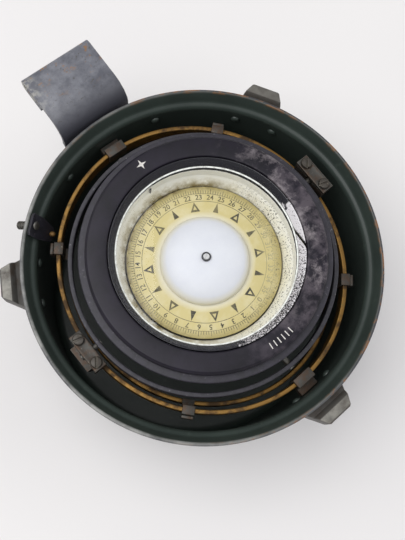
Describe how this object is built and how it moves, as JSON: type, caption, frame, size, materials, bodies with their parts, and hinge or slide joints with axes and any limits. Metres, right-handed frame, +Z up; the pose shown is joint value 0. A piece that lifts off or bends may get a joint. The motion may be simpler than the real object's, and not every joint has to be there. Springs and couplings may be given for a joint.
{
  "type": "boat compass",
  "caption": "Liquid compass on gimbals, sprung inside a round sheet-metal pot with three outside lugs and a bent strap hook.",
  "frame": {"origin": "centre of the pot's flat underside", "axes": "+Z up; +X along the outer gimbal axis, through the two bearings; +Y along the inner gimbal axis, towards the strap hook"},
  "size_m": [0.174, 0.2218, 0.115],
  "materials": {
    "pot_enamel": "old dark green-grey enamel inside, blue-grey outside, worn at the lip",
    "lug_enamel": "worn grey paint on cast metal",
    "hanger_enamel": "worn blue-grey paint on bent strip",
    "bare_steel": "dull bare metal",
    "ring_brass": "tarnished brass strip",
    "clip_steel": "dark worn paint",
    "screw_brass": "tarnished slotted screws",
    "gimbal_steel": "dark grey paint",
    "bowl_enamel": "dark enamel outside, white inside",
    "bezel_enamel": "black enamel, rubbed grey",
    "glass": "clear flat glass",
    "gasket_rubber": "black rubber",
    "retaining_metal": "bare speckled metal with black remains",
    "fitting_brass": "brass",
    "lead": "cast lead",
    "black_line": "black paint",
    "card_enamel": "cream card with black print",
    "float_enamel": "white float",
    "agate": "agate cup",
    "magnet_steel": "dark magnet steel",
    "lever_steel": "blacked steel"
  },
  "bodies": {
    "case": {"case_shell": "pot_enamel", "lug_1": "lug_enamel", "lug_2": "lug_enamel", "lug_3": "lug_enamel", "lug_1_rivet_left": "bare_steel", "lug_1_rivet_right": "bare_steel", "lug_2_rivet_left": "bare_steel", "lug_2_rivet_right": "bare_steel", "lug_3_rivet_left": "bare_steel", "lug_3_rivet_right": "bare_steel", "hanger_hook": "hanger_enamel", "hanger_rivet_left": "bare_steel", "hanger_rivet_right": "bare_steel", "upper_spring_ring": "ring_brass", "lower_spring_ring": "ring_brass", "wall_clip_back": "clip_steel", "wall_clip_front": "clip_steel", "ring_clip_1": "clip_steel", "ring_clip_2": "clip_steel", "ring_clip_3": "clip_steel", "ring_clip_4": "clip_steel", "clip_keeper_1": "clip_steel", "clip_keeper_2": "clip_steel", "clip_keeper_3": "clip_steel", "clip_keeper_4": "clip_steel", "bearing_stand_right": "clip_steel", "bearing_keeper_right": "clip_steel", "bearing_screw_right_a": "screw_brass", "bearing_screw_right_b": "screw_brass", "bearing_stand_left": "clip_steel", "bearing_keeper_left": "clip_steel", "bearing_screw_left_a": "screw_brass", "bearing_screw_left_b": "screw_brass"},
    "gimbal": {"gimbal_ring": "gimbal_steel", "outer_pivot_pin_right": "bare_steel", "outer_pivot_pin_left": "bare_steel"},
    "bowl": {"bowl_body": "bowl_enamel", "inner_pivot_pin_back": "bare_steel", "inner_pivot_pin_front": "bare_steel", "bezel": "bezel_enamel", "cover_glass": "glass", "glass_gasket": "gasket_rubber", "retaining_ring": "retaining_metal", "expansion_diaphragm": "fitting_brass", "bottom_cover": "bowl_enamel", "ballast_weight": "lead", "pivot_post": "fitting_brass", "filler_plug": "fitting_brass", "lubber_line": "black_line"},
    "card": {"compass_card": "card_enamel", "card_float": "float_enamel", "jewel_cup": "agate", "float_cap": "bare_steel", "card_magnet_left": "magnet_steel", "card_magnet_right": "magnet_steel"},
    "lever": {"lock_lever": "lever_steel", "lever_stud": "bare_steel", "lever_foot_pin": "fitting_brass"}
  },
  "joints": [
    {"name": "outer_gimbal", "type": "hinge", "parent": "case", "child": "gimbal", "pos_m": [0, 0, 0.0943], "axis": [1, 0, 0], "range_deg": [-30, 30]},
    {"name": "inner_gimbal", "type": "hinge", "parent": "gimbal", "child": "bowl", "pos_m": [0, 0, 0.0943], "axis": [0, 1, 0], "range_deg": [-30, 30]},
    {"name": "card_spin", "type": "hinge", "parent": "bowl", "child": "card", "pos_m": [0, 0, 0.0943], "axis": [0, 0, 1], "continuous": true},
    {"name": "lever_swing", "type": "hinge", "parent": "case", "child": "lever", "pos_m": [-0.05449, 0.06426, 0.09716], "axis": [0.5544, -0.6537, 0.515], "range_deg": [0, 40]}
  ]
}
